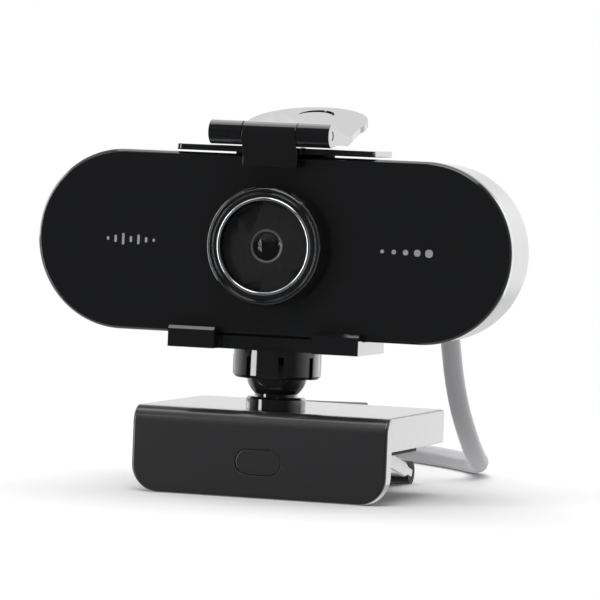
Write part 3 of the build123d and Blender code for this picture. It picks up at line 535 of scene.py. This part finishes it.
TRIM_IN, TRIM_OUT = 7.52 * MM, 8.09 * MM
trim_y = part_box("lens_trim")[0][1]
trim_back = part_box("lens_trim")[1][1]
lip_r = (TRIM_OUT - TRIM_IN) / 2
lip = [((TRIM_IN + TRIM_OUT) / 2 - lip_r * math.cos(angle), trim_y + lip_r - lip_r * math.sin(angle))
       for angle in (math.pi * step / 10 for step in range(11))]
trim = turned_ring("lens_trim_lip", [(TRIM_IN, trim_back)] + lip + [(TRIM_OUT, trim_back)], chrome)
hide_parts("lens_trim")

mask_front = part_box("window_mask")[0][1]
RETAINER_IN, RETAINER_OUT, RETAINER_T = 2.42 * MM, 2.86 * MM, 0.35 * MM
retainer_y = mask_front + 0.25 * MM
retainer, tree, shader, place = finish_of("retainer_steel", (0.42, 0.42, 0.43), 0.38, Metallic=0.6)
bumps = tree.node("TexNoise", "Fac", Vector=place, Scale=5.0, Detail=3.0)
join(tree, 0.3 + 0.2 * bumps, shader, "Roughness")
turned_ring("lens_retainer", [(RETAINER_IN, retainer_y + RETAINER_T), (RETAINER_IN, retainer_y + 0.08 * MM),
                              (RETAINER_IN + 0.08 * MM, retainer_y), (RETAINER_OUT - 0.06 * MM, retainer_y),
                              (RETAINER_OUT, retainer_y + 0.06 * MM), (RETAINER_OUT, retainer_y + RETAINER_T)],
            retainer)

# ---- inside of the camera ------------------------------------------------------------------------
# Green circuit board with its chips, the sensor, the socket and the cable's cores, all inside the shell.
board, tree, shader, place = finish_of("board_green", (0.02, 0.16, 0.07), 0.35, Coat_Weight=0.4)
tracks = tree.node("TexBrick", "Color", {"offset": 0.5}, Vector=place, Scale=0.6,
                   Color1=(0.015, 0.12, 0.05, 1), Color2=(0.02, 0.16, 0.07, 1), Mortar=(0.03, 0.22, 0.1, 1))
join(tree, tracks, shader, "Base Color")
chip, tree, shader, place = finish_of("chip_black", (0.03, 0.03, 0.03), 0.55)
bumps = grain(tree, shader, place, 0.1, 0.004, 2.0)
join(tree, 0.5 + 0.15 * bumps, shader, "Roughness")
nylon, tree, shader, place = finish_of("connector_white", (0.8, 0.79, 0.74), 0.45)
bumps = grain(tree, shader, place, 0.2, 0.004, 2.0)
join(tree, 0.4 + 0.15 * bumps, shader, "Roughness")
foam, tree, shader, place = finish_of("foam_tape", (0.1, 0.1, 0.1), 0.9)
cells = tree.node("TexVoronoi", "Distance", Vector=place, Scale=4.0)
join(tree, tree.node("Bump", "Normal", Height=cells, Distance=0.1 * MM), shader, "Normal")
join(tree, tree.blend(cells, (0.05, 0.05, 0.05, 1), (0.13, 0.13, 0.13, 1)), shader, "Base Color")
for node, material in {"circuit_board": board, "board_chips": chip, "image_sensor": chip,
                       "cable_socket": nylon, "inner_lead": cable_grey, "cover_tape": foam,
                       "usb_plug_tongue": nylon}.items():
    paint(node, material)

# ---- clip, leg and plug --------------------------------------------------------------------------
# Satin black mouldings, with rubber where the clip grips and stands, and a brass insert underneath.
satin, tree, shader, place = finish_of("satin_black", (0.022, 0.022, 0.024), 0.33, Coat_Weight=0.8,
                                       Coat_Roughness=0.09)
bumps = grain(tree, shader, place, 0.22, 0.0025, 3.0)
join(tree, 0.25 + 0.14 * bumps, shader, "Roughness")
satin_mouldings = (
    ("clip_cover", "clip", 0.25), ("lip_badge", "clip", 0.08), ("rear_leg", "leg", 0.25),
    ("usb_plug_grip", "lean_ring", 0.5),
)
for node, body, width in satin_mouldings:
    paint(rounded(node, body, width * MM), satin)
rubber, tree, shader, place = finish_of("rubber_black", (0.018, 0.018, 0.018), 0.78)
bumps = grain(tree, shader, place, 0.12, 0.008, 2.0)
join(tree, 0.68 + 0.2 * bumps, shader, "Roughness")
for node in ("cable_gland", "lip_pad", "top_pads", "leg_foot", "friction_ring"):
    paint(node, rubber)
brass, tree, shader, place = finish_of("brass_insert", (0.72, 0.53, 0.25), 0.28, Metallic=1.0)
bumps = grain(tree, shader, place, 0.25, 0.003, 2.0)
join(tree, 0.2 + 0.2 * bumps, shader, "Roughness")
paint("thread_insert", brass)
